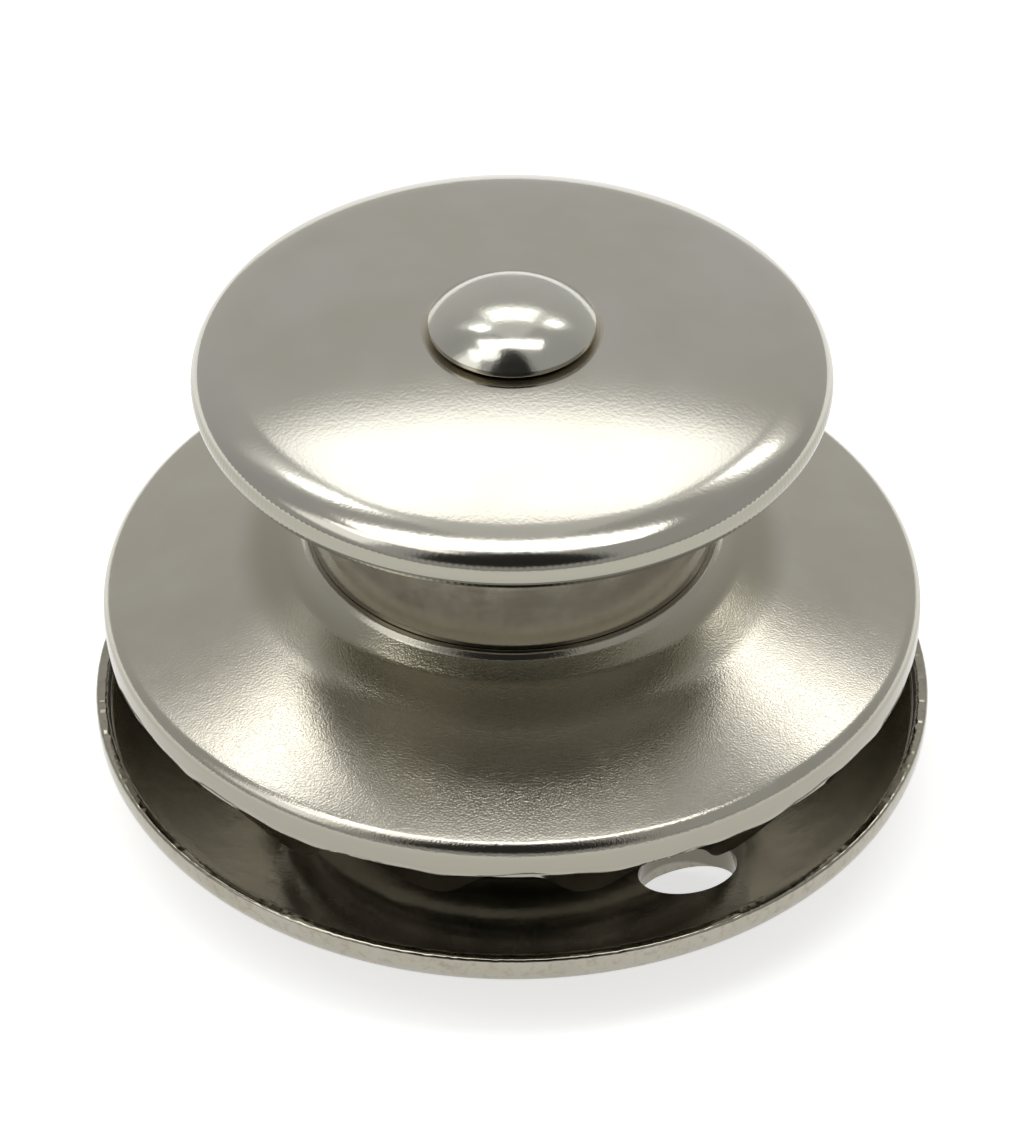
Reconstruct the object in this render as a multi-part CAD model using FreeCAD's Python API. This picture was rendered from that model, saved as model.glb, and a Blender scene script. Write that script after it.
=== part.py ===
"""Upper half of a pull-to-open snap fastener for covers and canvas, in millimetres.

A mushroom knob stands on a bell-shaped face flange. The flange is riveted on a threaded barrel, and a dished
washer nut screws up the barrel from below, so that cloth is clamped between the nut and the flange's teeth.
Inside the barrel a slotted collet is pushed down into a cone by a spring and grips the head of a stud. Lifting
the knob draws the collet out of the cone and lets the stud go.

+Z is up along the common axis. The origin is the middle of the nut's flat foot, on the resting plane.
"""

import FreeCAD
import Part

import math
import os

# Clearances, and where the nut stands on the thread
slide_clearance = 0.05
seat_clearance = 0.02
knob_rest_gap = 0.04
sleeve_play = 0.13
nut_recess = 0.35

# Cone bush: everything round it takes its radius from the bush
bush_wall = 0.98
bush_length = 3.15
stud_entry_radius = 2.75
stud_entry_length = 1.1
stud_entry_chamfer = 0.2
cone_angle = 20.0

# Barrel
thread_wall = 0.75
thread_length = 5.75
thread_chamfer = 0.2
shoulder_inset = 0.35
shoulder_height = 0.77
tube_inset = 0.25
tube_wall = 0.7
tube_length = 3.33
tube_round = 0.35
tube_top_wall = 0.72
bead_width = 0.2
bead_height = 0.25

# Washer nut
nut_overhang = 0.28
nut_floor = 0.65
nut_foot_width = 0.65
nut_slope = 20.0
nut_rim_height = 0.74
nut_outer_round = 0.6
nut_lip = 0.3
nut_lip_depth = 0.35
nut_lip_round = 0.09
nut_hub_wall = 0.55
nut_hub_height = 1.7
nut_corner_round = 0.3
key_hole_radius = 1.17
key_hole_reach = 1.8
key_hole_count = 2
key_hole_first = -53.0

# Face flange and the teeth of its rim
flange_sheet = 0.4
collar_margin = 0.32
collar_round = 0.3
neck_width = 0.55
neck_drop = 0.62
neck_round = 1.6
flange_width = 4.55
rim_drop = 1.88
rim_round = 0.4
rim_height = 0.74
bend_round = 0.6
tooth_height = 1.25
tooth_lean = 0.75
tooth_count = 16
tooth_tip_width = 0.45
tooth_valley_width = 1.0
tooth_round = 0.25

# Locking collet
collet_end_gap = 0.12
collet_height = 3.9
collet_head_reach = 0.4
collet_head_step = 0.2
collet_wall = 0.45
collet_catch_depth = 0.7
collet_catch_height = 0.5
collet_disc = 0.8
collet_slot_width = 0.5
collet_slot_count = 4

# Spring
wire_radius = 0.22
coil_play = 0.58
coil_turns = 4.5

# Pull pin
pin_radius = 1.1
pin_foot_radius = 1.5
pin_foot_height = 0.4
pin_neck_radius = 0.88
pin_head_radius = 1.95
pin_head_foot_radius = 1.65
pin_head_flare = 0.12
pin_head_edge = 0.12
pin_dome_height = 0.7

# Knob sleeve
sleeve_sheet = 0.3
sleeve_length = 4.13
sleeve_corner_round = 0.45
sleeve_edge_round = 0.13

# Knob cap
knob_overhang = 2.62
knob_sheet = 0.35
knob_crown_radius = 33.8
knob_shoulder = 2.6
knob_shoulder_angle = 61.0
knob_roll = 0.56
knob_lip = 0.35
dimple_margin = 0.17
dimple_depth = 0.1
dimple_slope_width = 0.14
crimp_line_angle = 19.0
crimp_line_radius = 0.04

# Radii that follow from the sizes above, from the bush outwards
bush_radius = stud_entry_radius + bush_wall
thread_radius = bush_radius + seat_clearance + thread_wall
tube_radius = thread_radius - tube_inset
chamber_radius = tube_radius - tube_wall
coil_radius = chamber_radius - coil_play - wire_radius
nut_bore_radius = thread_radius + slide_clearance
nut_hub_radius = nut_bore_radius + nut_hub_wall
nut_foot_radius = nut_hub_radius + nut_foot_width
key_hole_circle = nut_hub_radius + key_hole_reach
sleeve_inner = tube_radius + bead_width + sleeve_play
sleeve_radius = sleeve_inner + sleeve_sheet
collar_radius = sleeve_radius + collar_margin
flange_radius = collar_radius + flange_width
nut_radius = flange_radius + nut_overhang
knob_radius = sleeve_radius + knob_overhang
collet_head_radius = stud_entry_radius + collet_head_reach
collet_neck_radius = collet_head_radius - collet_head_step
collet_cavity_radius = collet_neck_radius - collet_wall
collet_catch_radius = collet_cavity_radius - collet_catch_depth
dimple_radius = pin_head_radius + dimple_margin

# Heights that follow from the sizes above
barrel_end = nut_recess
shoulder_foot = barrel_end + thread_length
flange_underside = shoulder_foot + shoulder_height
flange_seat = flange_underside + flange_sheet
tube_top = flange_seat + tube_length
chamber_top = tube_top - tube_top_wall
bush_top = barrel_end + bush_length
cone_foot = barrel_end + stud_entry_length
cone_rise = math.tan(math.radians(cone_angle))
nut_knee = (nut_radius - nut_foot_radius) * math.tan(math.radians(nut_slope))
nut_depth = nut_knee + nut_rim_height
collet_low = cone_foot + collet_end_gap
collet_top = collet_low + collet_height
disc_low = collet_top - collet_disc
sleeve_low = flange_seat + knob_rest_gap
plate_low = sleeve_low + sleeve_length

# Cap's section: a crown, a tighter shoulder and a roll, each arc tangent to the next
roll_centre_radius = knob_radius - knob_roll
roll_centre_height = plate_low - seat_clearance - knob_sheet + knob_roll
shoulder_slant = math.radians(knob_shoulder_angle)
shoulder_centre_radius = roll_centre_radius - (knob_shoulder - knob_roll) * math.cos(shoulder_slant)
shoulder_centre_height = roll_centre_height - (knob_shoulder - knob_roll) * math.sin(shoulder_slant)
crown_reach = knob_crown_radius - knob_shoulder
crown_centre = shoulder_centre_height - math.sqrt(crown_reach**2 - shoulder_centre_radius**2)
crown_edge_angle = math.degrees(math.acos(shoulder_centre_radius / crown_reach))
dimple_floor = crown_centre + knob_crown_radius - dimple_depth


def unit(dx, dz):
    """Direction of a step in the turning plane."""
    length = math.hypot(dx, dz)
    return dx / length, dz / length


def arc(centre_x, centre_z, radius, first, last):
    """Start, middle and end of an arc, from its angles in degrees above the x axis."""
    angles = [math.radians(a) for a in (first, (first + last) / 2, last)]
    return tuple((centre_x + radius * math.cos(a), centre_z + radius * math.sin(a)) for a in angles)


def rounded(corners):
    """Stops of a closed outline: each corner (x, z, round) becomes a point, or the arc that rounds it."""
    stops = []
    count = len(corners)
    for i, corner in enumerate(corners):
        radius = corner[2] if len(corner) > 2 else 0.0
        before, after = corners[i - 1], corners[(i + 1) % count]
        ux, uz = unit(before[0] - corner[0], before[1] - corner[1])
        vx, vz = unit(after[0] - corner[0], after[1] - corner[1])
        half = math.acos(max(-1.0, min(1.0, ux * vx + uz * vz))) / 2
        if radius <= 0 or half > math.radians(89.9):
            stops.append((corner[:2],))
            continue
        reach = radius / math.tan(half)
        mx, mz = unit(ux + vx, uz + vz)
        inset = radius / math.sin(half) - radius
        stops.append(((corner[0] + ux * reach, corner[1] + uz * reach),
                      (corner[0] + mx * inset, corner[1] + mz * inset),
                      (corner[0] + vx * reach, corner[1] + vz * reach)))
    return stops


def in_turning_plane(x, z):
    return FreeCAD.Vector(x, 0, z)


def joined(stops, place=in_turning_plane):
    """Closed wire through stops, each a point or the three points of an arc. place puts (x, z) in space."""
    edges = []
    for i, stop in enumerate(stops):
        if len(stop) == 3:
            edges.append(Part.Arc(*[place(*point) for point in stop]).toShape())
        start, end = place(*stop[-1]), place(*stops[(i + 1) % len(stops)][0])
        if start.distanceToPoint(end) > 1e-6:
            edges.append(Part.LineSegment(start, end).toShape())
    return Part.Wire(edges)


def turned(stops):
    """Solid of revolution about Z."""
    return Part.Face(joined(stops)).revolve(FreeCAD.Vector(0, 0, 0), FreeCAD.Vector(0, 0, 1), 360)


def sheet(path, thickness):
    """Closed corners of a pressed sheet: path is one face, and the other lies to the right of its direction."""
    inner = []
    for i, corner in enumerate(path):
        normals = []
        if i > 0:
            dx, dz = unit(corner[0] - path[i - 1][0], corner[1] - path[i - 1][1])
            normals.append((dz, -dx))
        if i < len(path) - 1:
            dx, dz = unit(path[i + 1][0] - corner[0], path[i + 1][1] - corner[1])
            normals.append((dz, -dx))
        nx, nz = unit(sum(n[0] for n in normals), sum(n[1] for n in normals))
        stretch = thickness / (nx * normals[0][0] + nz * normals[0][1])
        radius = 0.0
        if len(corner) > 2 and len(normals) == 2:
            turn = normals[0][0] * normals[1][1] - normals[0][1] * normals[1][0]
            radius = max(0.0, corner[2] + math.copysign(thickness, turn))
        inner.append((corner[0] + nx * stretch, corner[1] + nz * stretch, radius))
    return list(path) + inner[::-1]


def rod(radius, low, high, x=0.0, y=0.0):
    return Part.makeCylinder(radius, high - low, FreeCAD.Vector(x, y, low))


def spun(shape, angle):
    """A copy turned about the common axis."""
    copy = shape.copy()
    copy.rotate(FreeCAD.Vector(0, 0, 0), FreeCAD.Vector(0, 0, 1), angle)
    return copy


def washer_nut():
    """Dished plate with a threaded hub, a lip that stands up round the edge, and holes for a pin spanner."""
    lip_inside = nut_radius - nut_lip
    plate = turned(rounded([
        (nut_bore_radius, thread_chamfer),
        (nut_bore_radius + thread_chamfer, 0),
        (nut_foot_radius, 0, nut_corner_round),
        (nut_radius, nut_knee, nut_outer_round),
        (nut_radius, nut_depth, nut_lip_round),
        (lip_inside, nut_depth, nut_lip_round),
        (lip_inside, nut_depth - nut_lip_depth, nut_corner_round / 2),
        (nut_hub_radius + nut_corner_round, nut_floor, nut_corner_round),
        (nut_hub_radius, nut_floor, nut_lip_round),
        (nut_hub_radius, nut_hub_height, nut_lip_round),
        (nut_bore_radius + thread_chamfer, nut_hub_height),
        (nut_bore_radius, nut_hub_height - thread_chamfer),
    ]))
    for k in range(key_hole_count):
        angle = math.radians(key_hole_first + k * 360 / key_hole_count)
        x, y = key_hole_circle * math.cos(angle), key_hole_circle * math.sin(angle)
        plate = plate.cut(rod(key_hole_radius, -nut_floor, nut_depth + nut_floor, x, y))
    return plate


def socket_barrel():
    """Turned barrel: thread outside, bores inside, a shoulder under the flange and a peened bead above it."""
    bead_radius = tube_radius + bead_width
    bead_top = flange_seat + bead_height
    shoulder_radius = collar_radius - shoulder_inset
    pin_hole_radius = pin_radius + slide_clearance
    return turned(rounded([
        (bush_radius + seat_clearance, barrel_end),
        (thread_radius - thread_chamfer, barrel_end),
        (thread_radius, barrel_end + thread_chamfer),
        (thread_radius, shoulder_foot),
        (shoulder_radius, shoulder_foot, thread_chamfer / 2),
        (shoulder_radius, flange_underside),
        (tube_radius, flange_underside),
        (tube_radius, flange_seat),
        (bead_radius, flange_seat),
        (bead_radius, bead_top, bead_width),
        (tube_radius, bead_top),
        (tube_radius, tube_top, tube_round),
        (pin_hole_radius, tube_top),
        (pin_hole_radius, chamber_top),
        (chamber_radius, chamber_top, tube_round),
        (chamber_radius, bush_top),
        (bush_radius + seat_clearance, bush_top),
    ]))


def face_flange():
    """Bell-shaped pressed plate with a flat seat for the knob's sleeve, and a rim turned down into teeth."""
    rim_top = flange_seat - rim_drop
    bend = rim_top - rim_height
    tip = bend - tooth_height
    trim = flange_sheet / 2
    plate = turned(rounded(sheet([
        (tube_radius + seat_clearance, flange_seat),
        (collar_radius, flange_seat, collar_round),
        (collar_radius + neck_width, flange_seat - neck_drop, neck_round),
        (flange_radius, rim_top, rim_round),
        (flange_radius, bend, bend_round),
        (flange_radius - tooth_lean * (1 + trim), tip - tooth_height * trim),
    ], flange_sheet)))
    tip_radius = flange_radius - tooth_lean
    pitch = 2 * math.pi * tip_radius / tooth_count
    mouth = pitch - tooth_tip_width
    side = pitch / 2 + tooth_tip_width
    below = tip - tooth_height
    gap = rounded([
        (-side, tip),
        (-mouth / 2, tip, tooth_round),
        (-tooth_valley_width / 2, bend, tooth_round),
        (tooth_valley_width / 2, bend, tooth_round),
        (mouth / 2, tip, tooth_round),
        (side, tip),
        (side, below),
        (-side, below),
    ])
    near = tip_radius - 3 * flange_sheet
    wire = joined(gap, lambda across, height: FreeCAD.Vector(across, -near, height))
    cutter = Part.Face(wire).extrude(FreeCAD.Vector(0, near - flange_radius - flange_sheet, 0))
    for k in range(tooth_count):
        plate = plate.cut(spun(cutter, k * 360 / tooth_count))
    return plate


def cone_radius(height):
    """Inner radius of the bush's cone at a height."""
    return stud_entry_radius + (height - cone_foot) * cone_rise


def cone_bush():
    """Bush with the stud's entry hole and, above it, the cone that closes the collet."""
    top = bush_top - seat_clearance
    return turned(rounded([
        (stud_entry_radius, barrel_end + stud_entry_chamfer),
        (stud_entry_radius + stud_entry_chamfer, barrel_end),
        (bush_radius, barrel_end),
        (bush_radius, top),
        (cone_radius(top), top),
        (stud_entry_radius, cone_foot),
    ]))


def locking_collet():
    """Slotted collet: springy fingers with a catch inside and a cone outside, hung from a guided disc."""
    catch_lead = collet_cavity_radius - collet_catch_radius
    catch_top = collet_low + catch_lead / 2 + collet_catch_height
    head_foot = cone_foot + (collet_head_radius + slide_clearance - stud_entry_radius) / cone_rise
    head_top = head_foot + collet_catch_height
    shank_radius = pin_radius + seat_clearance
    body = turned(rounded([
        (collet_catch_radius, collet_low + catch_lead / 2),
        (collet_catch_radius + catch_lead / 2, collet_low),
        (cone_radius(collet_low) - slide_clearance, collet_low),
        (collet_head_radius, head_foot),
        (collet_head_radius, head_top),
        (collet_neck_radius, head_top + collet_head_radius - collet_neck_radius),
        (collet_neck_radius, disc_low),
        (chamber_radius - slide_clearance, disc_low, 0.05),
        (chamber_radius - slide_clearance, collet_top, 0.15),
        (shank_radius, collet_top),
        (shank_radius, disc_low),
        (collet_cavity_radius, disc_low, collet_slot_width / 2),
        (collet_cavity_radius, catch_top + catch_lead),
        (collet_catch_radius, catch_top),
    ]))
    reach = 2 * chamber_radius
    slot_top = disc_low - collet_slot_width / 2
    slot = Part.makeBox(reach, collet_slot_width, slot_top, FreeCAD.Vector(0, -collet_slot_width / 2, 0))
    for k in range(collet_slot_count):
        body = body.cut(spun(slot, (k + 0.5) * 360 / collet_slot_count))
    return body


def spring():
    """Compression spring between the collet's disc and the barrel's top wall."""
    low = collet_top + wire_radius + seat_clearance
    high = chamber_top - wire_radius - seat_clearance
    helix = Part.makeHelix((high - low) / coil_turns, high - low, coil_radius)
    helix.translate(FreeCAD.Vector(0, 0, low))
    start = FreeCAD.Vector(coil_radius, 0, low)
    section = Part.Wire([Part.makeCircle(wire_radius, start, FreeCAD.Vector(0, 1, 0))])
    return Part.Wire(helix.Edges).makePipeShell([section], True, True)


def pull_pin():
    """Stepped pin: a foot under the collet's disc, a shoulder under the cap and a domed head riveted over it."""
    foot_low = disc_low - pin_foot_height
    shoulder = dimple_floor - knob_sheet - seat_clearance
    head_foot = dimple_floor + seat_clearance
    edge_low = head_foot + pin_head_flare
    edge_top = edge_low + pin_head_edge
    dome_radius = (pin_head_radius**2 + pin_dome_height**2) / (2 * pin_dome_height)
    dome_angle = math.degrees(math.acos(pin_head_radius / dome_radius))
    return turned([
        ((0, foot_low),),
        ((pin_foot_radius, foot_low),),
        ((pin_foot_radius, disc_low),),
        ((pin_radius, disc_low),),
        ((pin_radius, shoulder),),
        ((pin_neck_radius, shoulder),),
        ((pin_neck_radius, head_foot),),
        ((pin_head_foot_radius, head_foot),),
        ((pin_head_radius, edge_low),),
        arc(0, edge_top + pin_dome_height - dome_radius, dome_radius, dome_angle, 90),
    ])


def knob_sleeve():
    """Tube of the knob's neck, with a plate at its top that lies in the cap's rolled rim."""
    top = plate_low + sleeve_sheet
    return turned(rounded([
        (sleeve_radius, sleeve_low, sleeve_edge_round),
        (sleeve_radius, plate_low, sleeve_corner_round),
        (roll_centre_radius, plate_low),
        (roll_centre_radius, top),
        (sleeve_inner, top, sleeve_corner_round + sleeve_sheet),
        (sleeve_inner, sleeve_low, sleeve_edge_round),
    ]))


def cap_face(depth):
    """Stops of the cap's section from its hole to its lip, a given depth inside the outer face."""
    crown = knob_crown_radius - depth
    shoulder = knob_shoulder - depth
    roll = knob_roll - depth
    dimple_top = dimple_radius + dimple_slope_width
    return [
        ((pin_neck_radius + slide_clearance, dimple_floor - depth),),
        ((dimple_radius, dimple_floor - depth),),
        arc(0, crown_centre, crown, math.degrees(math.acos(dimple_top / crown)), crown_edge_angle),
        arc(shoulder_centre_radius, shoulder_centre_height, shoulder, crown_edge_angle, knob_shoulder_angle),
        arc(roll_centre_radius, roll_centre_height, roll, knob_shoulder_angle, -90),
        ((roll_centre_radius - knob_lip, roll_centre_height - roll),),
    ]


def knob_cap():
    """Crowned cap pressed from sheet, dimpled for the pin's head, its rim rolled under the sleeve's plate."""
    inside = [stop[::-1] for stop in cap_face(knob_sheet)[::-1]]
    cap = turned(cap_face(0) + inside)
    angle = math.radians(-crimp_line_angle)
    line_radius = roll_centre_radius + knob_roll * math.cos(angle)
    line_height = roll_centre_height + knob_roll * math.sin(angle)
    line = Part.makeTorus(line_radius, crimp_line_radius, FreeCAD.Vector(0, 0, line_height))
    return cap.cut(line)


pieces = [washer_nut, socket_barrel, face_flange, cone_bush, locking_collet, spring, pull_pin, knob_sleeve,
          knob_cap]

os.makedirs("parts", exist_ok=True)
for piece in pieces:
    shape = piece()
    if isinstance(shape, Part.Compound) and len(shape.Solids) == 1:
        shape = shape.Solids[0]
    print(piece.__name__, "valid", shape.isValid(), "solids", len(shape.Solids), "volume", round(shape.Volume, 3))
    shape.exportStep(f"parts/{piece.__name__}.step")
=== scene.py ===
import bpy
import bmesh
import math
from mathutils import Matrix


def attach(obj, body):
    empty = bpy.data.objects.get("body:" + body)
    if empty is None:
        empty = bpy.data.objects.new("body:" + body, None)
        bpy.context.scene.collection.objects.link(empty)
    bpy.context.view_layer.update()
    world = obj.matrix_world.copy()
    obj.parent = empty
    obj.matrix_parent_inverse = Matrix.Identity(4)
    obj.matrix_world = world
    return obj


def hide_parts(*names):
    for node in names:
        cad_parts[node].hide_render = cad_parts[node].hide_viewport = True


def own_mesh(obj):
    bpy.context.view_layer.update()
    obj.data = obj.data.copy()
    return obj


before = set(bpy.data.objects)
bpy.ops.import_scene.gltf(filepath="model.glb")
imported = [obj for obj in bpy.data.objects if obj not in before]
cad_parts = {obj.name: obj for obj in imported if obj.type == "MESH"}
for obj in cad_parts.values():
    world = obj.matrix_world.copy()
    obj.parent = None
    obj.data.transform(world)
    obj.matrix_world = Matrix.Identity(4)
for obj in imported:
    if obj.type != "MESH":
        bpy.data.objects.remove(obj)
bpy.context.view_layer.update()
millimetre = 0.001
print("frame loaded:", len(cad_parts), "nodes")

cameraSetup = {
    "elevation": 39.415,     # degrees above the table
    "distance": 173.5,       # mm from the point looked at
    "lookHeight": 5.655,     # mm above the table, on the axis
    "focalPixels": 7277,     # focal length in pixels of the full picture
    "pictureHeight": 1145,
    "sensorHeight": 36,
}


def makeCamera(setup):
    data = bpy.data.cameras.new("camera")
    data.sensor_fit = "VERTICAL"
    data.sensor_height = setup["sensorHeight"]
    data.lens = setup["focalPixels"] * setup["sensorHeight"] / setup["pictureHeight"]
    data.clip_start = 0.01
    camera = bpy.data.objects.new("camera", data)
    bpy.context.scene.collection.objects.link(camera)
    climb = math.radians(setup["elevation"])
    reach = setup["distance"] * millimetre
    camera.location = (0, -reach * math.cos(climb),
                       setup["lookHeight"] * millimetre + reach * math.sin(climb))
    camera.rotation_euler = (math.pi / 2 - climb, 0, 0)
    bpy.context.scene.camera = camera


makeCamera(cameraSetup)
print("camera placed")


# outlines in the turning plane: (radius, height) in mm

def unit(dx, dz):
    length = math.hypot(dx, dz)
    return dx / length, dz / length


def arcPoints(centre, radius, first, last, steps):
    angles = [math.radians(first + (last - first) * k / steps) for k in range(steps + 1)]
    return [(centre[0] + radius * math.cos(a), centre[1] + radius * math.sin(a)) for a in angles]


def roundedLoop(corners, steps=8):   # corners are (r, z) or (r, z, round)
    points = []
    for i, corner in enumerate(corners):
        radius = corner[2] if len(corner) > 2 else 0.0
        before, after = corners[i - 1], corners[(i + 1) % len(corners)]
        ux, uz = unit(before[0] - corner[0], before[1] - corner[1])
        vx, vz = unit(after[0] - corner[0], after[1] - corner[1])
        half = math.acos(max(-1.0, min(1.0, ux * vx + uz * vz))) / 2
        if radius <= 0 or half > math.radians(89.9):
            points.append(corner[:2])
            continue
        reach = radius / math.tan(half)
        mx, mz = unit(ux + vx, uz + vz)
        depth = radius / math.sin(half)
        centre = (corner[0] + mx * depth, corner[1] + mz * depth)
        first = math.atan2(corner[1] + uz * reach - centre[1], corner[0] + ux * reach - centre[0])
        last = math.atan2(corner[1] + vz * reach - centre[1], corner[0] + vx * reach - centre[0])
        turn = (last - first + math.pi) % (2 * math.pi) - math.pi
        points += arcPoints(centre, radius, math.degrees(first), math.degrees(first + turn), steps)
    return points


def sheetCorners(path, thickness):   # the other face lies to the right of the path
    inner = []
    for i, corner in enumerate(path):
        normals = []
        if i > 0:
            dx, dz = unit(corner[0] - path[i - 1][0], corner[1] - path[i - 1][1])
            normals.append((dz, -dx))
        if i < len(path) - 1:
            dx, dz = unit(path[i + 1][0] - corner[0], path[i + 1][1] - corner[1])
            normals.append((dz, -dx))
        nx, nz = unit(sum(n[0] for n in normals), sum(n[1] for n in normals))
        stretch = thickness / (nx * normals[0][0] + nz * normals[0][1])
        radius = 0.0
        if len(corner) > 2 and len(normals) == 2:
            turn = normals[0][0] * normals[1][1] - normals[0][1] * normals[1][0]
            radius = max(0.0, corner[2] + math.copysign(thickness, turn))
        inner.append((corner[0] + nx * stretch, corner[1] + nz * stretch, radius))
    return list(path) + inner[::-1]


def onRadius(r, radius):
    return abs(r - radius) < 1e-6


def denser(loop, longest, fineRadius=None, fine=None):   # splits long straight steps, finer along one radius
    points = []
    for i, point in enumerate(loop):
        after = loop[(i + 1) % len(loop)]
        isFine = fine and onRadius(point[0], fineRadius) and onRadius(after[0], fineRadius)
        pieces = max(1, math.ceil(math.dist(point, after) / (fine if isFine else longest)))
        points += [(point[0] + (after[0] - point[0]) * k / pieces,
                    point[1] + (after[1] - point[1]) * k / pieces) for k in range(pieces)]
    return points


def ripple(waves, angle):   # waves are (height, count round the ring, start)
    return sum(height * math.sin(count * angle + start) for height, count, start in waves)


def stepTurn(loop, i):   # how sharply the outline turns at a point, in degrees
    before, here, after = loop[i - 1], loop[i], loop[(i + 1) % len(loop)]
    a = unit(here[0] - before[0], here[1] - before[1])
    b = unit(after[0] - here[0], after[1] - here[1])
    return math.degrees(math.acos(max(-1.0, min(1.0, a[0] * b[0] + a[1] * b[1]))))


def pieceFrom(name, build):
    bmesh.ops.recalc_face_normals(build, faces=build.faces)
    mesh = bpy.data.meshes.new(name)
    build.to_mesh(mesh)
    build.free()
    piece = bpy.data.objects.new(name, mesh)
    bpy.context.scene.collection.objects.link(piece)
    return piece


def lathe(name, loop, columns, form=None, sharpTurn=32):   # form(r, z, angle) may move each point
    loop = [point for i, point in enumerate(loop) if math.dist(point, loop[i - 1]) > 1e-6]
    build = bmesh.new()
    rings = []
    for r, z in loop:
        if r < 1e-6:
            rings.append([build.verts.new((0, 0, z * millimetre))])
            continue
        ring = []
        for k in range(columns):
            angle = 2 * math.pi * k / columns
            pr, pz = form(r, z, angle) if form else (r, z)
            ring.append(build.verts.new((pr * math.cos(angle) * millimetre,
                                         pr * math.sin(angle) * millimetre, pz * millimetre)))
        rings.append(ring)
    for i in range(len(loop)):
        here, there = rings[i], rings[(i + 1) % len(loop)]
        if len(here) == 1 and len(there) == 1:
            continue
        for k in range(columns):
            n = (k + 1) % columns
            corners = [here[k % len(here)], here[n % len(here)], there[n % len(there)], there[k % len(there)]]
            build.faces.new(list(dict.fromkeys(corners))).smooth = True
    for i, ring in enumerate(rings):
        if len(ring) > 1 and stepTurn(loop, i) > sharpTurn:
            for k in range(columns):
                edge = build.edges.get((ring[k], ring[(k + 1) % columns]))
                edge.smooth = False
    return pieceFrom(name, build)


# finishes: nickel plate, spring steel or brass, each with its own grain, cloud and marks

def addNode(tree, kind, inputs=(), **settings):
    node = tree.nodes.new(kind)
    for key, value in settings.items():
        setattr(node, key, value)
    for key, value in dict(inputs).items():
        if isinstance(value, bpy.types.NodeSocket):
            tree.links.new(value, node.inputs[key])
        else:
            node.inputs[key].default_value = value
    return node


def noiseOf(tree, where, scale, detail=3.0, rough=0.55, stretch=None):
    if stretch:
        where = addNode(tree, "ShaderNodeMapping", {"Vector": where, "Scale": stretch}).outputs["Vector"]
    return addNode(tree, "ShaderNodeTexNoise", {"Vector": where, "Scale": scale, "Detail": detail,
                                                "Roughness": rough}).outputs["Fac"]


def remap(tree, value, fromLow, fromHigh, toLow, toHigh):
    return addNode(tree, "ShaderNodeMapRange", {"Value": value, "From Min": fromLow, "From Max": fromHigh,
                                                "To Min": toLow, "To Max": toHigh}).outputs["Result"]


def calc(tree, operation, first, second=None):
    inputs = {0: first} if second is None else {0: first, 1: second}
    return addNode(tree, "ShaderNodeMath", inputs, operation=operation).outputs[0]


def rise(tree, value, low, high):   # smooth step from 0 at low to 1 at high
    return addNode(tree, "ShaderNodeMapRange", {"Value": value, "From Min": low, "From Max": high},
                   interpolation_type="SMOOTHSTEP").outputs["Result"]


def within(tree, value, limits, soft):
    return calc(tree, "MULTIPLY", rise(tree, value, limits[0] - soft, limits[0] + soft),
                rise(tree, value, limits[1] + soft, limits[1] - soft))


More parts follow.
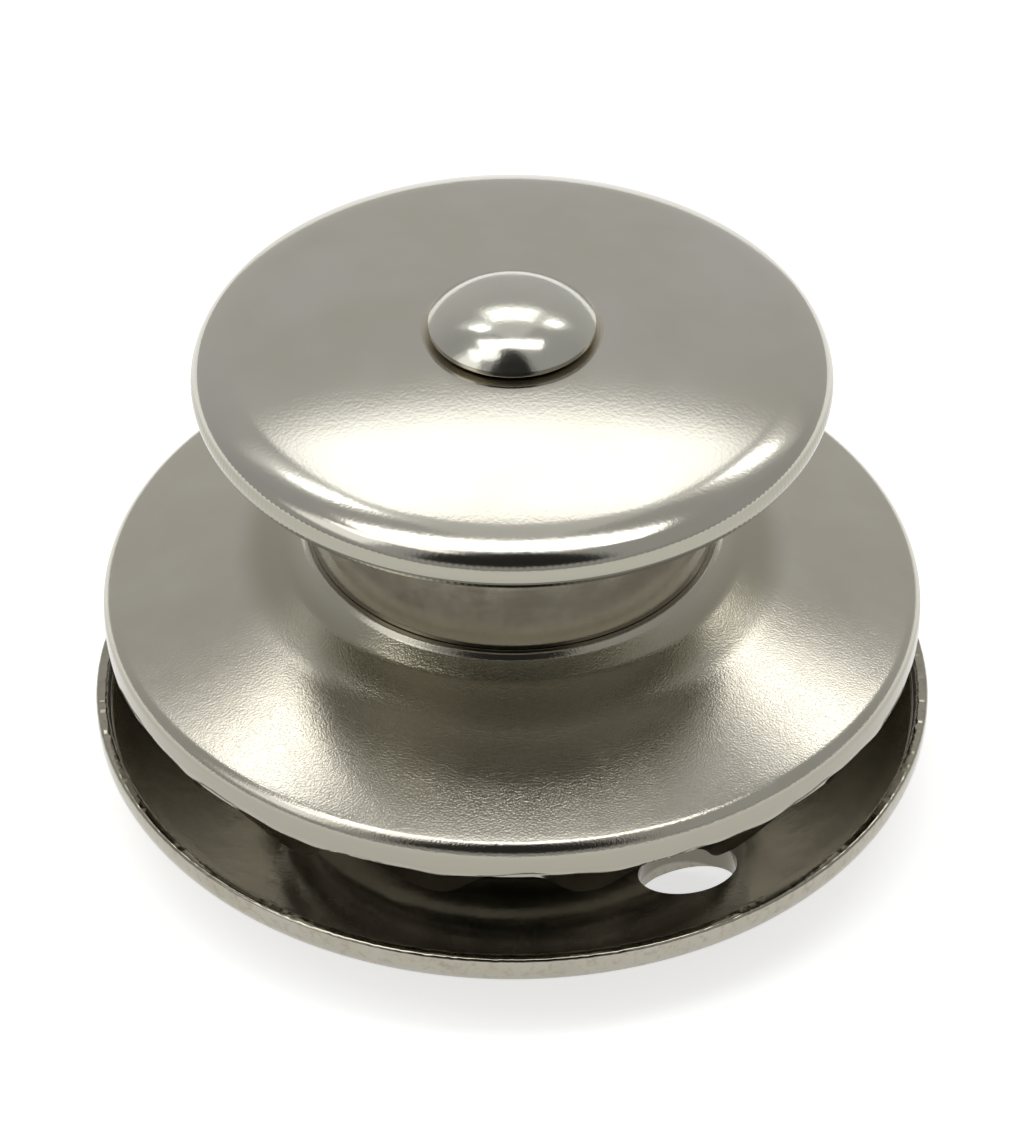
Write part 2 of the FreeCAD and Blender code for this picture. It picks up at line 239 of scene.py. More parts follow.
def metalFinish(name, s):
    material = bpy.data.materials.new(name)
    material.use_nodes = True
    tree = material.node_tree
    shader = tree.nodes["Principled BSDF"]
    shader.inputs["Metallic"].default_value = 1.0
    where = addNode(tree, "ShaderNodeTexCoord").outputs["Object"]
    where = addNode(tree, "ShaderNodeMapping", {   # in mm from here on
        "Vector": where, "Scale": (1 / millimetre,) * 3}).outputs["Vector"]
    cloud = noiseOf(tree, where, s["cloudScale"], 3.0)
    tint = addNode(tree, "ShaderNodeMix", data_type="RGBA")
    tree.links.new(remap(tree, cloud, 0.3, 0.7, 0.0, 1.0), tint.inputs["Factor"])
    tint.inputs[6].default_value = (*s["colour"], 1)
    tint.inputs[7].default_value = (*s["colourTwo"], 1)
    stain = noiseOf(tree, where, s["stainScale"], 4.0, 0.6)
    stained = addNode(tree, "ShaderNodeMix", data_type="RGBA")
    tree.links.new(remap(tree, stain, s["stainFrom"], s["stainFrom"] + 0.2, 0.0, s["stainDepth"]),
                   stained.inputs["Factor"])
    tree.links.new(tint.outputs[2], stained.inputs[6])
    stained.inputs[7].default_value = (*s["stainColour"], 1)
    colour = stained.outputs[2]
    axes = addNode(tree, "ShaderNodeSeparateXYZ", {0: where})
    radius = addNode(tree, "ShaderNodeVectorMath", {0: addNode(tree, "ShaderNodeCombineXYZ", {
        0: axes.outputs[0], 1: axes.outputs[1]}).outputs[0]}, operation="LENGTH").outputs["Value"]
    patch = noiseOf(tree, where, s["patchScale"], 4.0, 0.6)
    rough = remap(tree, patch, 0.3, 0.7, s["roughLow"], s["roughHigh"])
    for zone in s.get("zones", ()):   # rings of the surface with another colour and roughness
        mask = calc(tree, "MULTIPLY", within(tree, radius, zone["radius"], zone["soft"]),
                    within(tree, axes.outputs[2], zone["height"], zone["soft"]))
        mask = calc(tree, "MULTIPLY", mask, zone["share"])
        ring = addNode(tree, "ShaderNodeMix", {"Factor": mask}, data_type="RGBA")
        tree.links.new(colour, ring.inputs[6])
        ring.inputs[7].default_value = (*zone["colour"], 1)
        colour = ring.outputs[2]
        if "rough" in zone:
            rough = calc(tree, "ADD", calc(tree, "MULTIPLY", rough, calc(tree, "SUBTRACT", 1.0, mask)),
                         calc(tree, "MULTIPLY", mask, zone["rough"]))
    tree.links.new(colour, shader.inputs["Base Color"])
    tree.links.new(rough, shader.inputs["Roughness"])
    normal = None
    if "ribs" in s:   # fine upright ribs round a rim
        ribs = s["ribs"]
        angle = calc(tree, "ARCTAN2", axes.outputs[1], axes.outputs[0])
        wave = calc(tree, "SINE", calc(tree, "MULTIPLY", angle, float(ribs["count"])))
        wave = calc(tree, "MULTIPLY", wave, within(tree, axes.outputs[2], ribs["height"], ribs["soft"]))
        normal = addNode(tree, "ShaderNodeBump", {"Height": wave, "Strength": ribs["strength"],
                                                  "Distance": ribs["depth"] * millimetre}).outputs["Normal"]
    for layer in s["relief"]:
        height = noiseOf(tree, where, layer["scale"], layer.get("detail", 2.0), layer.get("rough", 0.5),
                         layer.get("stretch"))
        bump = addNode(tree, "ShaderNodeBump", {"Height": height, "Strength": layer["strength"],
                                                "Distance": layer["depth"] * millimetre})
        if normal:
            tree.links.new(normal, bump.inputs["Normal"])
        normal = bump.outputs["Normal"]
    tree.links.new(normal, shader.inputs["Normal"])
    return material


def dress(piece, body, node, material):
    piece.data.materials.clear()
    piece.data.materials.append(material)
    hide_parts(node)
    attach(piece, body)


nickelWarm = (0.49, 0.47, 0.41)
nickelPale = (0.52, 0.51, 0.46)

# knob cap: crowned pressed sheet with a dimple for the rivet and a rolled rim
knobCap = {
    "radius": 7.5, "sheet": 0.35, "crownRadius": 33.8, "shoulder": 2.6, "shoulderEdge": 61.0,
    "roll": 0.56, "lip": 0.35, "plateLow": 11.44, "plateGap": 0.02,
    "dimpleRadius": 2.12, "dimpleDepth": 0.10, "dimpleSlope": 0.14, "dimpleFoot": 0.12, "dimpleFootRise": 0.03,
    "holeRadius": 0.93,
    "crimpAngle": -19.0, "crimpRadius": 0.04, "step": 0.4, "columns": 288,
}
rollRadius = knobCap["radius"] - knobCap["roll"]
rollHeight = knobCap["plateLow"] - knobCap["plateGap"] - knobCap["sheet"] + knobCap["roll"]


def shoulderCentre():   # its arc meets the roll where the roll turns up at the shoulder's edge
    edge = math.radians(knobCap["shoulderEdge"])
    reach = knobCap["shoulder"] - knobCap["roll"]
    return rollRadius - reach * math.cos(edge), rollHeight - reach * math.sin(edge)


shoulderR, shoulderZ = shoulderCentre()
crownReach = knobCap["crownRadius"] - knobCap["shoulder"]
crownEdge = math.degrees(math.acos(shoulderR / crownReach))
crownCentre = shoulderZ - math.sqrt(crownReach**2 - shoulderR**2)
dimpleFloor = crownCentre + knobCap["crownRadius"] - knobCap["dimpleDepth"]


def capFace(depth, crimped):
    s = knobCap
    crown = s["crownRadius"] - depth
    roll = s["roll"] - depth
    top = s["dimpleRadius"] + s["dimpleSlope"]
    face = [(s["holeRadius"], dimpleFloor - depth),
            (s["dimpleRadius"] - s["dimpleFoot"], dimpleFloor - depth),
            (s["dimpleRadius"], dimpleFloor + s["dimpleFootRise"] - depth)]
    face += arcPoints((0, crownCentre), crown, math.degrees(math.acos(top / crown)), crownEdge, 24)
    face += arcPoints((shoulderR, shoulderZ), s["shoulder"] - depth, crownEdge, s["shoulderEdge"], 10)[1:]
    if crimped:
        half = math.degrees(s["crimpRadius"] / roll)
        face += arcPoints((rollRadius, rollHeight), roll, s["shoulderEdge"], s["crimpAngle"] + half, 20)[1:]
        groove = math.radians(s["crimpAngle"])
        face.append((rollRadius + (roll - s["crimpRadius"]) * math.cos(groove),
                     rollHeight + (roll - s["crimpRadius"]) * math.sin(groove)))
        face += arcPoints((rollRadius, rollHeight), roll, s["crimpAngle"] - half, -90, 14)
    else:
        face += arcPoints((rollRadius, rollHeight), roll, s["shoulderEdge"], -90, 16)[1:]
    face.append((rollRadius - s["lip"], rollHeight - roll))
    return face


capLoop = denser(capFace(0, True) + capFace(knobCap["sheet"], False)[::-1], knobCap["step"])
capPiece = lathe("knobCapShell", capLoop, knobCap["columns"])
capFinish = metalFinish("capNickel", {
    "colour": nickelPale, "colourTwo": nickelWarm, "cloudScale": 0.35,
    "stainScale": 1.4, "stainFrom": 0.72, "stainDepth": 0.35, "stainColour": (0.42, 0.38, 0.31),
    "patchScale": 0.8, "roughLow": 0.115, "roughHigh": 0.130,
    "relief": [{"scale": 11.0, "depth": 0.004, "strength": 0.38},
               {"scale": 1.1, "depth": 0.01, "strength": 0.08}],
    # the first ring is painted shade: the rolled rim is made darker so that its reflection of the table comes
    # out dimmer
    "zones": [{"radius": (6.6, 8.0), "height": (10.0, 11.86), "soft": 0.06, "share": 1.0,
               "colour": (0.35, 0.34, 0.285)},
              # the second ring is painted shade: the crevice round the rivet's head is painted dark brown and
              # rougher, for the shadow under the head
              {"radius": (1.6, 2.10), "height": (12.0, 14.0), "soft": 0.05, "share": 0.6,
               "colour": (0.25, 0.20, 0.13), "rough": 0.45}],
    "ribs": {"count": 290, "height": (11.0, 11.88), "soft": 0.05, "depth": 0.004, "strength": 0.4},
})
dress(capPiece, "knob", "knob_cap", capFinish)

# knob sleeve: the neck, with a plate caught in the cap's rim
knobSleeve = {"radius": 4.88, "sheet": 0.3, "footRadius": 4.79, "footInner": 4.52, "low": 7.285,
              "cornerRound": 0.45, "edgeRound": 0.02, "step": 0.5, "columns": 224}


def sleeveLoop():
    s = knobSleeve
    inner = s["radius"] - s["sheet"]
    plate = knobCap["plateLow"]
    top = plate + s["sheet"]
    return roundedLoop([
        (s["footRadius"], s["low"], s["edgeRound"]), (s["radius"], plate, s["cornerRound"]),
        (rollRadius, plate), (rollRadius, top),
        (inner, top, s["cornerRound"] + s["sheet"]), (s["footInner"], s["low"], s["edgeRound"]),
    ])


sleevePiece = lathe("knobSleeveTube", denser(sleeveLoop(), knobSleeve["step"]), knobSleeve["columns"])
sleeveFinish = metalFinish("sleeveNickel", {
    "colour": (0.50, 0.475, 0.41), "colourTwo": (0.42, 0.395, 0.325), "cloudScale": 0.5,
    "stainScale": 0.9, "stainFrom": 0.56, "stainDepth": 0.4, "stainColour": (0.22, 0.20, 0.16),
    "patchScale": 1.2, "roughLow": 0.12, "roughHigh": 0.24,
    # the first ring is painted shade: the sleeve is painted darker towards its foot, where it meets the flange
    "zones": [{"radius": (4.0, 5.2), "height": (7.0, 7.9), "soft": 0.4, "share": 0.8,
               "colour": (0.20, 0.18, 0.14)},
              {"radius": (5.3, 7.6), "height": (11.2, 12.0), "soft": 0.2, "share": 1.0,
               "colour": (0.62, 0.60, 0.54), "rough": 0.5}],
    "relief": [{"scale": 1.0, "depth": 0.004, "strength": 0.3, "stretch": (0.6, 0.6, 9.0)},
               {"scale": 9.0, "depth": 0.003, "strength": 0.2}],
})
dress(sleevePiece, "knob", "knob_sleeve", sleeveFinish)

# pull pin: its domed head is riveted over the cap
pullPin = {
    "radius": 1.1, "footRadius": 1.5, "footLow": 4.27, "discLow": 4.67, "neckRadius": 0.88,
    "headRadius": 1.95, "headFootRadius": 1.85, "seatGap": 0.02, "flare": 0.12, "edge": 0.118,
    "crownRadius": 3.6, "crownReach": 1.172, "brow": 1.917, "browEdge": 47.0,
    "step": 0.8, "columns": 160,
}


def pinLoop():
    s = pullPin
    shoulder = dimpleFloor - knobCap["sheet"] - s["seatGap"]
    headFoot = dimpleFloor + s["seatGap"]
    edgeLow = headFoot + s["flare"]
    edgeTop = edgeLow + s["edge"]
    # the dome is two arcs that run into each other: the brow at its edge and the flatter crown
    crownLean = math.degrees(math.asin(s["crownReach"] / s["crownRadius"]))
    browCentre = (s["headRadius"] - s["brow"] * math.sin(math.radians(s["browEdge"])),
                  edgeTop - s["brow"] * math.cos(math.radians(s["browEdge"])))
    crownFoot = (browCentre[1] + (s["brow"] - s["crownRadius"]) * math.cos(math.radians(crownLean)))
    dome = arcPoints(browCentre, s["brow"], 90 - s["browEdge"], 90 - crownLean, 14)
    dome += arcPoints((0, crownFoot), s["crownRadius"], 90 - crownLean, 90, 14)[1:]
    dome[-1] = (0, dome[-1][1])
    soft = roundedLoop([
        (0, s["footLow"]), (s["footRadius"], s["footLow"], 0.08), (s["footRadius"], s["discLow"]),
        (s["radius"], s["discLow"]), (s["radius"], shoulder), (s["neckRadius"], shoulder),
        (s["neckRadius"], headFoot), (s["headFootRadius"], headFoot, 0.05), (s["headRadius"], edgeLow, 0.05),
        (s["headRadius"], edgeTop),
    ], 5)
    return soft + dome[1:]


pinPiece = lathe("pullPinTurned", denser(pinLoop(), pullPin["step"]), pullPin["columns"])
pinFinish = metalFinish("pinNickel", {
    "colour": (0.56, 0.55, 0.49), "colourTwo": nickelPale, "cloudScale": 0.6,
    "stainScale": 2.0, "stainFrom": 0.66, "stainDepth": 0.4, "stainColour": (0.45, 0.40, 0.33),
    "patchScale": 1.5, "roughLow": 0.11, "roughHigh": 0.17,
    "relief": [{"scale": 1.6, "depth": 0.012, "strength": 0.3},
               {"scale": 9.0, "depth": 0.004, "strength": 0.5}],
})
dress(pinPiece, "stem", "pull_pin", pinFinish)

# face flange: grained bell plate, its rim turned down into teeth that lean inwards
faceFlange = {
    "sheet": 0.4, "seat": 7.27, "holeRadius": 4.27, "collarRadius": 4.93, "collarRound": 0.08,
    "stepRadius": 5.03, "stepDrop": 0.12, "stepRound": 0.25,
    "neckRadius": 5.5, "neckDrop": 0.42, "neckRound": 1.2, "hollowRadius": 6.5, "hollowDrop": 0.86,
    "hollowRound": 4.0, "rimRadius": 9.75, "rimDrop": 1.88,
    "rimRound": 0.4, "rimHeight": 0.74, "bendRound": 0.6, "toothHeight": 1.25, "toothLean": 0.75,
    "toothCount": 16, "tipWidth": 0.45, "valleyWidth": 1.0, "valleySoft": 0.06, "valleyGap": 0.02,
    "wave": 0.09, "waveReach": 0.45, "waveFrom": 8.5, "waves": [(0.5, 16, 0.6), (0.35, 7, 0), (0.2, 45, 2)],
    "step": 0.22, "columns": 512,
}


def flangePiece():
    s = faceFlange
    bend = s["seat"] - s["rimDrop"] - s["rimHeight"]
    tip = bend - s["toothHeight"]
    loop = roundedLoop(sheetCorners([
        (s["holeRadius"], s["seat"]), (s["collarRadius"], s["seat"], s["collarRound"]),
        (s["stepRadius"], s["seat"] - s["stepDrop"], s["stepRound"]),
        (s["neckRadius"], s["seat"] - s["neckDrop"], s["neckRound"]),
        (s["hollowRadius"], s["seat"] - s["hollowDrop"], s["hollowRound"]),
        (s["rimRadius"], s["seat"] - s["rimDrop"], s["rimRound"]),
        (s["rimRadius"], bend, s["bendRound"]), (s["rimRadius"] - s["toothLean"], tip),
    ], s["sheet"]), 10)
    lean = s["toothLean"] / s["toothHeight"]
    pitch = 2 * math.pi / s["toothCount"]
    tipRadius = s["rimRadius"] - s["toothLean"]
    halfMouth = (pitch * tipRadius - s["tipWidth"]) / 2
    halfValley = s["valleyWidth"] / 2
    sideTip = min(z for r, z in loop)

    def cutHeight(angle):   # how low the sheet's edge reaches between and on the teeth
        across = abs((angle + math.pi / 2 + pitch / 2) % pitch - pitch / 2) * tipRadius
        share = max(0.0, min(1.0, (across - halfValley) / (halfMouth - halfValley)))
        softened = share - s["valleySoft"] * math.sin(2 * math.pi * share)
        valley = bend - s["valleyGap"]
        return valley - (valley - sideTip) * softened

    def toothed(r, z, angle):   # the teeth, and shallow waves where the rim runs into them
        wave = s["wave"] * ripple(s["waves"], angle)
        if z >= bend:
            near = max(0.0, 1 - (z - bend) / s["waveReach"]) if r > s["waveFrom"] else 0.0
            return r, z + near**2 * wave
        share = (bend - z) / (bend - sideTip)
        low = bend - (bend - cutHeight(angle)) * share
        return r + (low - z) * lean, low + (1 - share) * wave

    return lathe("faceFlangePlate", denser(loop, s["step"]), s["columns"], toothed)


flangeFinish = metalFinish("flangeNickel", {
    "colour": (0.47, 0.445, 0.38), "colourTwo": (0.51, 0.49, 0.43), "cloudScale": 0.4,
    "stainScale": 1.1, "stainFrom": 0.66, "stainDepth": 0.25, "stainColour": (0.33, 0.30, 0.23),
    "patchScale": 0.9, "roughLow": 0.12, "roughHigh": 0.16,
    "relief": [{"scale": 20.0, "depth": 0.009, "strength": 0.48, "detail": 2.0, "rough": 0.6},
               {"scale": 1.2, "depth": 0.02, "strength": 0.12}],
    # the first ring is painted shade: the rim strip's outer face is made darker so that its reflection of the
    # table comes out dimmer
    "zones": [{"radius": (9.71, 10.5), "height": (0.0, 5.3), "soft": 0.04, "share": 1.0,
               "colour": (0.33, 0.315, 0.265)},
              # the second ring is painted shade: the concave neck round the sleeve is painted darker
              {"radius": (5.05, 6.3), "height": (5.5, 7.6), "soft": 0.45, "share": 0.9,
               "colour": (0.35, 0.33, 0.26)}],
})
dress(flangePiece(), "base", "face_flange", flangeFinish)

# washer nut: dished, with an upright lip, a threaded hub and two holes for a pin spanner
washerNut = {
    "radius": 10.03, "floor": 0.65, "footRadius": 5.75, "slope": 20.0, "rimHeight": 0.74, "outerRound": 0.6,
    "lip": 0.3, "lipDepth": 0.35, "lipRound": 0.09, "boreRadius": 4.55, "hubWall": 0.55, "hubHeight": 1.7,
    "cornerRound": 0.3, "chamfer": 0.2, "keyRadius": 1.17, "keyCircle": 6.9, "keyCount": 2, "keyFirst": -53.0,
    "chatter": 0.012, "marks": [(0.5, 97, 1), (0.4, 163, 0), (0.3, 211, 2), (0.3, 317, 0), (0.5, 11, 0)],
    "markEdge": 0.02, "drillLength": 6.0, "step": 0.4, "columns": 720,
}


def nutPiece():
    s = washerNut
    knee = (s["radius"] - s["footRadius"]) * math.tan(math.radians(s["slope"]))
    depth = knee + s["rimHeight"]
    hub = s["boreRadius"] + s["hubWall"]
    inside = s["radius"] - s["lip"]
    loop = roundedLoop([
        (s["boreRadius"], s["chamfer"]), (s["boreRadius"] + s["chamfer"], 0),
        (s["footRadius"], 0, s["cornerRound"]), (s["radius"], knee, s["outerRound"]),
        (s["radius"], depth, s["lipRound"]), (inside, depth, s["lipRound"]),
        (inside, depth - s["lipDepth"], s["cornerRound"] / 2),
        (hub + s["cornerRound"], s["floor"], s["cornerRound"]),
        (hub, s["floor"], s["lipRound"]), (hub, s["hubHeight"], s["lipRound"]),
        (s["boreRadius"] + s["chamfer"], s["hubHeight"]), (s["boreRadius"], s["hubHeight"] - s["chamfer"]),
    ], 7)

    def worked(r, z, angle):   # the lip's edge keeps the marks of its tool
        if r < inside - s["markEdge"] or z < depth - s["lipDepth"] / 2:
            return r, z
        mark = s["chatter"] * ripple(s["marks"], angle)
        onInside = r < s["radius"] - s["lip"] / 2
        return r - mark if onInside else r, z - abs(mark)

    piece = lathe("washerNutDish", denser(loop, s["step"]), s["columns"], worked)
    for k in range(s["keyCount"]):
        angle = math.radians(s["keyFirst"] + k * 360 / s["keyCount"])
        bpy.ops.mesh.primitive_cylinder_add(
            vertices=96, radius=s["keyRadius"] * millimetre, depth=s["drillLength"] * millimetre,
            location=(s["keyCircle"] * math.cos(angle) * millimetre,
                      s["keyCircle"] * math.sin(angle) * millimetre, 0))
        drill = bpy.context.object
        cut = piece.modifiers.new("keyHole", "BOOLEAN")
        cut.operation = "DIFFERENCE"
        cut.object = drill
        bpy.context.view_layer.objects.active = piece
        bpy.ops.object.modifier_apply(modifier=cut.name)
        bpy.data.objects.remove(drill)
    return piece


nutFinish = metalFinish("nutNickel", {
    "colour": (0.39, 0.37, 0.32), "colourTwo": (0.34, 0.32, 0.26), "cloudScale": 0.5,
    "stainScale": 5.0, "stainFrom": 0.50, "stainDepth": 0.5, "stainColour": (0.24, 0.21, 0.16),
    # painted shade: the inside of the dish, under the flange, is painted much darker
    "zones": [{"radius": (5.2, 9.72), "height": (0.3, 3.0), "soft": 0.05, "share": 0.9,
               "colour": (0.21, 0.195, 0.155)}],
    "patchScale": 0.8, "roughLow": 0.07, "roughHigh": 0.12,
    "relief": [{"scale": 8.0, "depth": 0.004, "strength": 0.3, "detail": 3.0},
               {"scale": 0.8, "depth": 0.03, "strength": 0.2}],
})
dress(nutPiece(), "nut", "washer_nut", nutFinish)
print("seen pieces made")

# barrel: its thread is cut here, all else is as the frame has it
socketBarrel = {
    "threadRadius": 4.5, "pitch": 0.75, "threadDepth": 0.42, "threadLow": 0.45, "threadHigh": 5.75,
    "boreRadius": 3.75, "end": 0.35, "chamfer": 0.2, "shoulderFoot": 6.1, "shoulderRadius": 4.85,
    "underside": 6.87, "seat": 7.27, "tubeRadius": 4.25, "beadRadius": 4.45, "beadHeight": 0.25,
    "top": 10.6, "topWall": 0.72, "topRound": 0.35, "chamberRadius": 3.55, "pinHole": 1.15, "bushTop": 3.5,
    "grooveWidth": 1.2, "grooveSlope": 2.6, "stepsPerPitch": 12, "step": 0.6, "columns": 192,
}


def barrelPiece():
    s = socketBarrel
    loop = roundedLoop([
        (s["boreRadius"], s["end"]), (s["threadRadius"] - s["chamfer"], s["end"]),
        (s["threadRadius"], s["end"] + s["chamfer"]), (s["threadRadius"], s["shoulderFoot"]),
        (s["shoulderRadius"], s["shoulderFoot"], 0.1), (s["shoulderRadius"], s["underside"]),
        (s["tubeRadius"], s["underside"]), (s["tubeRadius"], s["seat"]), (s["beadRadius"], s["seat"]),
        (s["beadRadius"], s["seat"] + s["beadHeight"], 0.2), (s["tubeRadius"], s["seat"] + s["beadHeight"]),
        (s["tubeRadius"], s["top"], s["topRound"]), (s["pinHole"], s["top"]),
        (s["pinHole"], s["top"] - s["topWall"]), (s["chamberRadius"], s["top"] - s["topWall"], s["topRound"]),
        (s["chamberRadius"], s["bushTop"]), (s["boreRadius"], s["bushTop"]),
    ], 6)
    dense = denser(loop, s["step"], s["threadRadius"], s["pitch"] / s["stepsPerPitch"])

    def threaded(r, z, angle):
        if not onRadius(r, s["threadRadius"]) or not s["threadLow"] < z < s["threadHigh"]:
            return r, z
        turn = (z / s["pitch"] - angle / (2 * math.pi)) % 1.0
        groove = max(0.0, min(1.0, s["grooveWidth"] - abs(turn - 0.5) * s["grooveSlope"]))
        fade = min(1.0, (s["threadHigh"] - z) / s["pitch"])
        return r - s["threadDepth"] * groove * fade, z

    return lathe("socketBarrelTurned", dense, s["columns"], threaded)


turnedFinish = metalFinish("turnedNickel", {
    "colour": (0.58, 0.55, 0.50), "colourTwo": (0.50, 0.47, 0.42), "cloudScale": 0.7,
    "stainScale": 1.2, "stainFrom": 0.64, "stainDepth": 0.5, "stainColour": (0.30, 0.27, 0.20),
    "patchScale": 1.0, "roughLow": 0.22, "roughHigh": 0.34,
    "relief": [{"scale": 2.0, "depth": 0.003, "strength": 0.4, "stretch": (0.3, 0.3, 14.0)}],
})
dress(barrelPiece(), "base", "socket_barrel", turnedFinish)

# spring: a round wire wound between the collet's disc and the barrel's top wall
springCoil = {"wire": 0.22, "coil": 2.75, "turns": 4.5, "low": 5.71, "high": 9.64, "top": 9.86,
              "lift": 1.8, "stepsPerTurn": 48, "wireSides": 14}


def springPiece():
    s = springCoil
    build = bmesh.new()
    steps = int(s["turns"] * s["stepsPerTurn"])
    rings = []
    for k in range(steps + 1):
        angle = 2 * math.pi * s["turns"] * k / steps
        height = s["low"] + (s["high"] - s["low"]) * k / steps
        ring = []
        for j in range(s["wireSides"]):
            a = 2 * math.pi * j / s["wireSides"]
            r = s["coil"] + s["wire"] * math.cos(a)
            ring.append(build.verts.new((r * math.cos(angle) * millimetre, r * math.sin(angle) * millimetre,
                                         (height + s["wire"] * math.sin(a)) * millimetre)))
        rings.append(ring)
    for here, there in zip(rings, rings[1:]):
        for j in range(s["wireSides"]):
            n = (j + 1) % s["wireSides"]
            build.faces.new((here[j], here[n], there[n], there[j])).smooth = True
    build.faces.new(rings[0][::-1])
    build.faces.new(rings[-1])
    return pieceFrom("springWire", build)


springFinish = metalFinish("springSteel", {
    "colour": (0.50, 0.50, 0.50), "colourTwo": (0.42, 0.42, 0.42), "cloudScale": 1.0,
    "stainScale": 2.0, "stainFrom": 0.65, "stainDepth": 0.3, "stainColour": (0.25, 0.22, 0.18),
    "patchScale": 2.0, "roughLow": 0.18, "roughHigh": 0.28,
    "relief": [{"scale": 8.0, "depth": 0.003, "strength": 0.3}],
})
coil = springPiece()
dress(coil, "base", "spring", springFinish)
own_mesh(coil)

# collet and bush keep the frame's own shapes
colletFinish = metalFinish("colletBrass", {
    "colour": (0.66, 0.56, 0.38), "colourTwo": (0.60, 0.53, 0.42), "cloudScale": 0.8,
    "stainScale": 1.5, "stainFrom": 0.62, "stainDepth": 0.4, "stainColour": (0.30, 0.24, 0.15),
    "patchScale": 1.5, "roughLow": 0.2, "roughHigh": 0.32,
    "relief": [{"scale": 3.0, "depth": 0.003, "strength": 0.4, "stretch": (0.4, 0.4, 12.0)}],
})
for nodeName, finish in (("locking_collet", colletFinish), ("cone_bush", turnedFinish)):
    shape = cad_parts[nodeName]
    shape.data.materials.clear()
    shape.data.materials.append(finish)
print("inner pieces made")

# table, and the light of a white tent around it
stageSetup = {"tableSize": 3.0, "tableColour": (0.70, 0.70, 0.69), "tableLift": 0.66}


def makeTable(s):
    bpy.ops.mesh.primitive_plane_add(size=s["tableSize"])
    table = bpy.context.object
    table.name = "table"
    material = bpy.data.materials.new("tablePaper")
    material.use_nodes = True
    tree = material.node_tree
    tree.nodes.clear()
    out = addNode(tree, "ShaderNodeOutputMaterial")
    paper = addNode(tree, "ShaderNodeBsdfDiffuse", {"Color": (*s["tableColour"], 1)})
    rays = addNode(tree, "ShaderNodeLightPath")
    seen = calc(tree, "MAXIMUM", rays.outputs["Is Camera Ray"], rays.outputs["Is Glossy Ray"])
    seen = calc(tree, "MAXIMUM", seen, rays.outputs["Is Transmission Ray"])
    lift = calc(tree, "MULTIPLY", seen, s["tableLift"])
    glow = addNode(tree, "ShaderNodeEmission", {"Color": (1, 1, 1, 1), "Strength": lift})
    both = addNode(tree, "ShaderNodeAddShader", {0: paper.outputs[0], 1: glow.outputs[0]})
    tree.links.new(both.outputs[0], out.inputs["Surface"])
    table.data.materials.append(material)


makeTable(stageSetup)

# what surrounds the object: grey walls, light boxes and a dark gap at the front
tent = {
    "skyColour": (1.0, 0.995, 0.975), "wallBack": 0.64, "wallSide": 0.48, "gapLevel": 0.03,
    # light boxes over the back wall: side to side and height, both over the distance to the wall
    "backBoxes": [
        {"across": (-0.42, 0.42), "height": (1.10, 1.85), "soft": 0.10, "level": 1.9},
        {"across": (-0.60, 0.60), "height": (1.90, 5.60), "soft": 0.12, "level": 0.25},
        {"across": (-1.10, -0.62), "height": (1.85, 2.55), "soft": 0.08, "level": 3.6},
        {"across": (-1.30, -0.50), "height": (1.45, 2.70), "soft": 0.25, "level": 0.5},
        {"across": (0.66, 1.10), "height": (1.34, 1.76), "soft": 0.08, "level": 3.2},
        {"across": (0.50, 1.30), "height": (1.15, 2.10), "soft": 0.25, "level": 0.5},
    ],
    # light boxes overhead: side to side and front to back, both over their height
    "roofBoxes": [
        {"across": (-0.50, 0.45), "depth": (-0.10, 0.13), "soft": 0.025, "level": 3.0},
        {"across": (-0.80, -0.20), "depth": (-0.42, -0.06), "soft": 0.06, "level": 1.7},
    ],
    # light box on the left wall: back to front and height, both over the distance to the wall
    "sideBoxes": [
        {"along": (-0.85, -0.15), "height": (0.45, 1.50), "soft": 0.12, "level": 1.0},
    ],
    "gapHalfAngle": 33.0, "gapEdge": 5.0, "gapFoot": 19.0, "gapFootEdge": 7.0, "gapBack": (-0.08, -0.12),
    "wallTurn": (0.2, 0.9), "nearest": 0.02,
}
boxFacing = (0.02, 0.06)   # a light box fades out where its wall turns away


def lightBox(tree, level, first, second, facing, s, firstLimits, secondLimits):
    shape = calc(tree, "MULTIPLY", within(tree, first, firstLimits, s["soft"]),
                 within(tree, second, secondLimits, s["soft"]))
    shape = calc(tree, "MULTIPLY", shape, rise(tree, facing, *boxFacing))
    return calc(tree, "ADD", level, calc(tree, "MULTIPLY", shape, s["level"]))


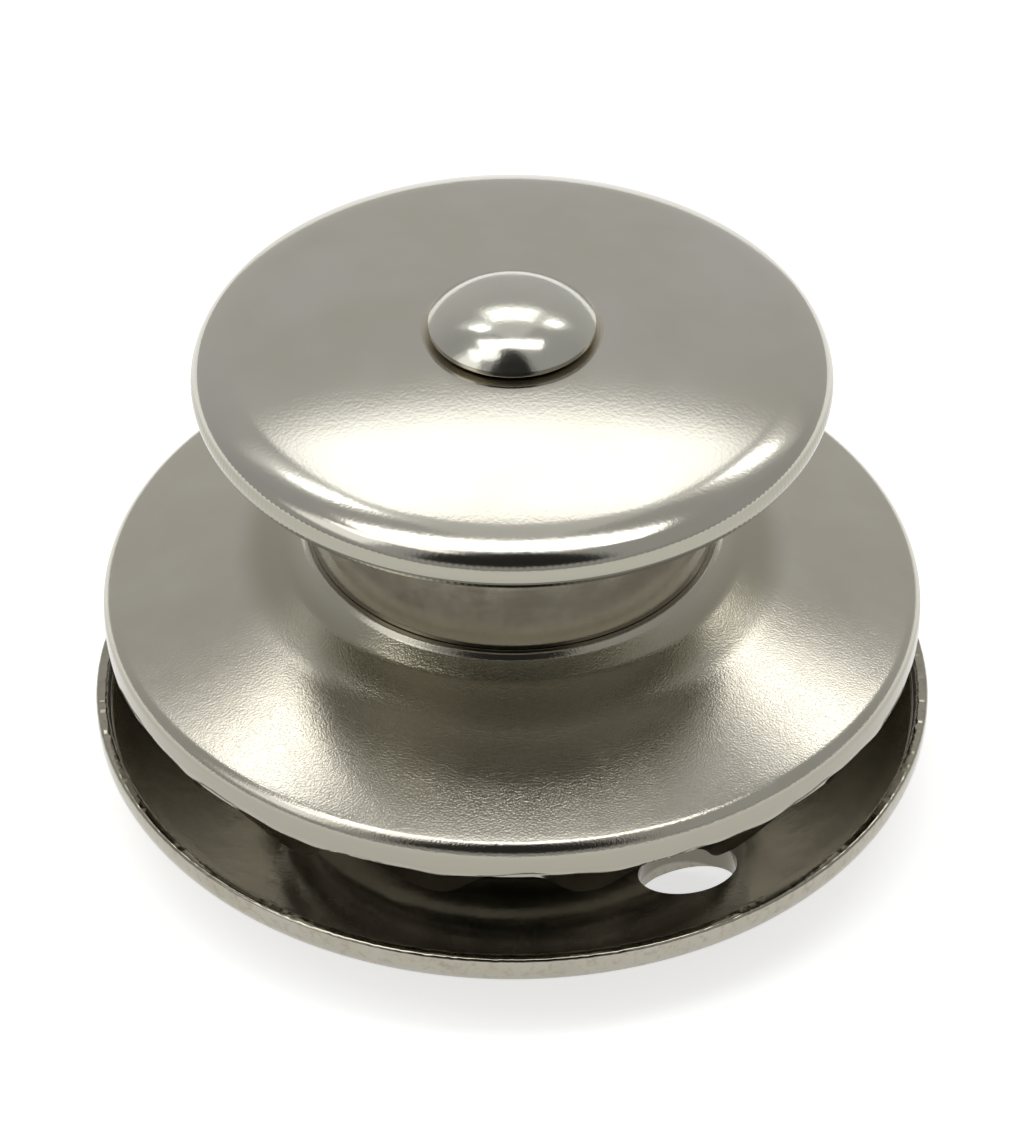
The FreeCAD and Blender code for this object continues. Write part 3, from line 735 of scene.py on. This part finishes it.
def makeWorld(s):
    world = bpy.data.worlds.new("whiteTent")
    bpy.context.scene.world = world
    world.use_nodes = True
    tree = world.node_tree
    tree.nodes.clear()
    out = addNode(tree, "ShaderNodeOutputWorld")
    toward = addNode(tree, "ShaderNodeTexCoord").outputs["Generated"]
    split = addNode(tree, "ShaderNodeSeparateXYZ", {0: toward})
    x, y, z = split.outputs
    deep = calc(tree, "MAXIMUM", y, s["nearest"])
    high = calc(tree, "MAXIMUM", z, s["nearest"])
    level = remap(tree, y, *s["wallTurn"], s["wallSide"], s["wallBack"])
    overBack = calc(tree, "DIVIDE", x, deep), calc(tree, "DIVIDE", z, deep)
    for box in s["backBoxes"]:
        level = lightBox(tree, level, *overBack, y, box, box["across"], box["height"])
    overRoof = calc(tree, "DIVIDE", x, high), calc(tree, "DIVIDE", y, high)
    for box in s["roofBoxes"]:
        level = lightBox(tree, level, *overRoof, z, box, box["across"], box["depth"])
    left = calc(tree, "MAXIMUM", calc(tree, "MULTIPLY", x, -1.0), s["nearest"])
    overLeft = calc(tree, "DIVIDE", y, left), calc(tree, "DIVIDE", z, left)
    for box in s["sideBoxes"]:
        level = lightBox(tree, level, *overLeft, left, box, box["along"], box["height"])
    turn = calc(tree, "ARCTAN2", calc(tree, "ABSOLUTE", x), calc(tree, "MULTIPLY", y, -1.0))
    half, edge = math.radians(s["gapHalfAngle"]), math.radians(s["gapEdge"])
    gap = rise(tree, turn, half + edge, half - edge)
    foot, edge = s["gapFoot"], s["gapFootEdge"]
    gap = calc(tree, "MULTIPLY", gap, rise(tree, z, math.sin(math.radians(foot - edge)),
                                           math.sin(math.radians(foot + edge))))
    gap = calc(tree, "MULTIPLY", gap, rise(tree, y, *s["gapBack"]))
    level = calc(tree, "ADD", calc(tree, "MULTIPLY", level, calc(tree, "SUBTRACT", 1.0, gap)),
                 calc(tree, "MULTIPLY", gap, s["gapLevel"]))
    sky = addNode(tree, "ShaderNodeBackground", {"Color": (*s["skyColour"], 1), "Strength": level})
    tree.links.new(sky.outputs[0], out.inputs["Surface"])


makeWorld(tent)
bpy.context.scene.view_settings.view_transform = "Standard"
print("stage and light made")
